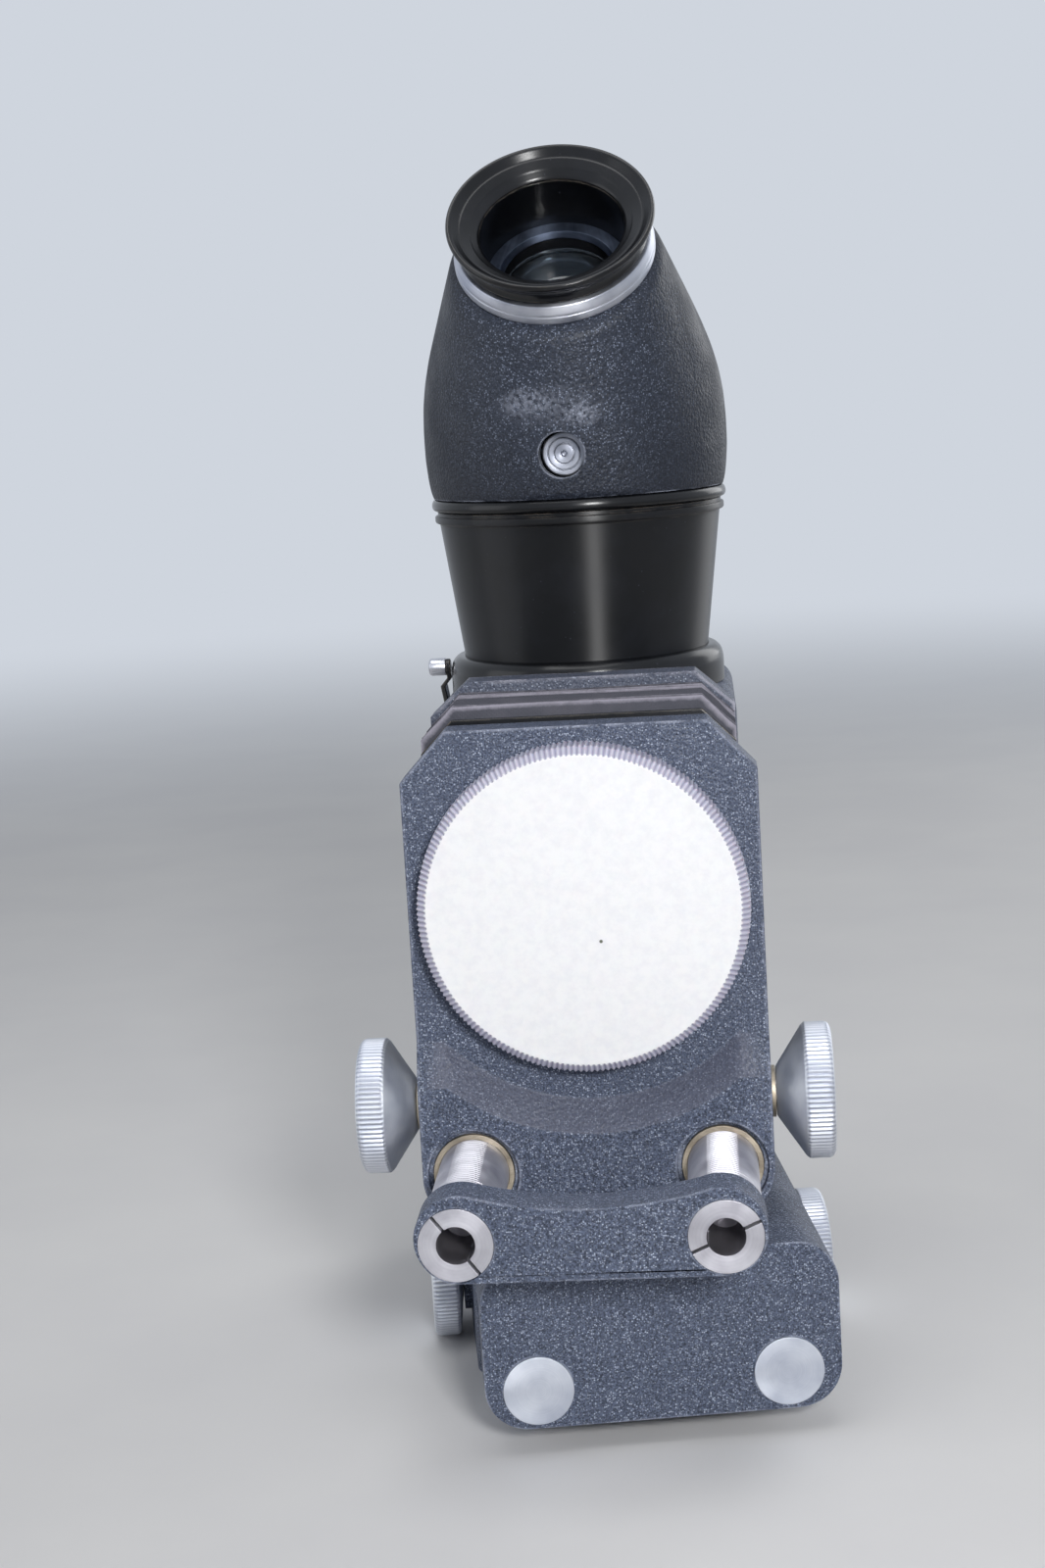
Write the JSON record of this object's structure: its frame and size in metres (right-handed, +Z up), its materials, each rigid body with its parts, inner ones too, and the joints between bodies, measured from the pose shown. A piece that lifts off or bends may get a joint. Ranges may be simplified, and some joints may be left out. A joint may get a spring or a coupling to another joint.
{
  "type": "macro bellows unit with reflex finder",
  "caption": "Close-up bellows on twin geared rods, with reflex mirror housing, viewing tube, turning 45 degree prism head and a swinging focusing rail",
  "frame": {"origin": "on the swing axis between rail and bed, at the height of the carriage's base", "axes": "+Z up, -Y towards the lens end along the optical axis, +X to the right as seen from the lens end"},
  "size_m": [0.0882, 0.1465, 0.2358],
  "materials": {
    "black_hammer_enamel": "hammered",
    "black_gloss_enamel": "gloss",
    "bellows_cloth": "matte, coated",
    "satin_aluminium": "satin",
    "satin_chrome": "satin",
    "brass": "machined",
    "white_plastic": "moulded",
    "optical_glass": "polished",
    "mirror_glass": "silvered"
  },
  "bodies": {
    "carriage": {"carriage": "black_hammer_enamel", "carriage_bushes": "brass", "tripod_bush": "satin_chrome"},
    "clamp_left": {"clamp_screw_left": "satin_chrome", "clamp_knob_left": "satin_aluminium"},
    "clamp_right": {"clamp_screw_right": "satin_chrome", "clamp_knob_right": "satin_aluminium"},
    "rail": {"rail_casting": "black_hammer_enamel", "rail_rod_left": "satin_aluminium", "rail_rod_right": "satin_aluminium"},
    "swing_screw": {"swing_screw": "satin_chrome"},
    "bed": {"rear_standard": "black_hammer_enamel", "foot_bush": "brass", "bed_rod_left": "satin_chrome", "bed_rod_right": "satin_chrome", "front_bridge": "black_hammer_enamel", "bellows": "bellows_cloth", "reflex_housing": "black_hammer_enamel", "housing_back": "black_hammer_enamel", "camera_ring": "satin_aluminium", "camera_ring_screws": "satin_chrome", "viewing_tube": "black_gloss_enamel", "tube_foot_ring": "black_gloss_enamel", "focusing_screen": "optical_glass", "screen_ring": "black_gloss_enamel", "condenser_lens": "optical_glass"},
    "front": {"front_standard": "black_hammer_enamel", "guide_bush_left": "brass", "guide_bush_right": "brass", "lens_ring": "satin_aluminium", "shaft_bushes": "brass", "bellows_frame": "black_gloss_enamel"},
    "cap": {"front_cap": "white_plastic"},
    "drive": {"drive_shaft": "satin_chrome", "pinion_left": "brass", "pinion_right": "brass", "focus_knob_left": "satin_aluminium", "focus_knob_right": "satin_aluminium"},
    "mirror": {"mirror_carrier": "black_gloss_enamel", "mirror_glass": "mirror_glass", "mirror_pin": "satin_chrome", "mirror_lever": "black_gloss_enamel", "lever_button": "satin_chrome"},
    "head": {"head_housing": "black_hammer_enamel", "head_spigot": "brass", "prism": "optical_glass", "eyepiece_collar": "satin_aluminium", "head_screw": "satin_chrome"},
    "eyepiece_cell": {"lens_cell": "black_gloss_enamel", "lens_retainer": "satin_aluminium", "eye_lens": "optical_glass", "field_lens": "optical_glass"},
    "eyecup": {"eyecup": "black_gloss_enamel"}
  },
  "joints": [
    {"name": "rail_slide", "type": "slide", "parent": "carriage", "child": "rail", "axis": [-0.1288, 0.9917, 0], "range_m": [-0.024, 0.027]},
    {"name": "clamp_left_turn", "type": "hinge", "parent": "carriage", "child": "clamp_left", "pos_m": [0.0027, -0.02083, 0.0121], "axis": [0.9917, 0.1288, 0], "range_deg": [-90, 0]},
    {"name": "clamp_right_turn", "type": "hinge", "parent": "carriage", "child": "clamp_right", "pos_m": [0.0027, -0.02083, 0.0121], "axis": [0.9917, 0.1288, 0], "range_deg": [0, 90]},
    {"name": "swing", "type": "hinge", "parent": "rail", "child": "bed", "pos_m": [0, 0, 0.0363], "axis": [0, 0, 1], "continuous": true},
    {"name": "swing_screw_turn", "type": "hinge", "parent": "rail", "child": "swing_screw", "pos_m": [0, 0, 0.024], "axis": [0, 0, 1], "continuous": true},
    {"name": "front_slide", "type": "slide", "parent": "bed", "child": "front", "axis": [0, -1, 0], "range_m": [0, 0.0275], "deforming": ["bellows"]},
    {"name": "focus_turn", "type": "hinge", "parent": "front", "child": "drive", "pos_m": [0, -0.0593, 0.05873], "axis": [1, 0, 0], "range_deg": [0, 302]},
    {"name": "cap_pull", "type": "slide", "parent": "front", "child": "cap", "axis": [0, -1, 0], "range_m": [0, 0.012]},
    {"name": "mirror_flip", "type": "hinge", "parent": "bed", "child": "mirror", "pos_m": [0, 0.021, 0.1175], "axis": [-1, 0, 0], "range_deg": [0, 45]},
    {"name": "head_turn", "type": "hinge", "parent": "bed", "child": "head", "pos_m": [0, 0, 0.16605], "axis": [0, 0, 1], "continuous": true},
    {"name": "eyepiece_slide", "type": "slide", "parent": "head", "child": "eyepiece_cell", "axis": [-0.0308, -0.7064, 0.7071], "range_m": [-0.0005, 0.0005]},
    {"name": "eyecup_turn", "type": "hinge", "parent": "eyepiece_cell", "child": "eyecup", "pos_m": [0, 0, 0.19255], "axis": [-0.0308, -0.7064, 0.7071], "range_deg": [-180.1, 180.1]}
  ],
  "couplings": [
    {"joint": "focus_turn", "follows": "front_slide", "rad_per_m": 190.4},
    {"joint": "eyecup_turn", "follows": "eyepiece_slide", "rad_per_m": 6283.2}
  ]
}
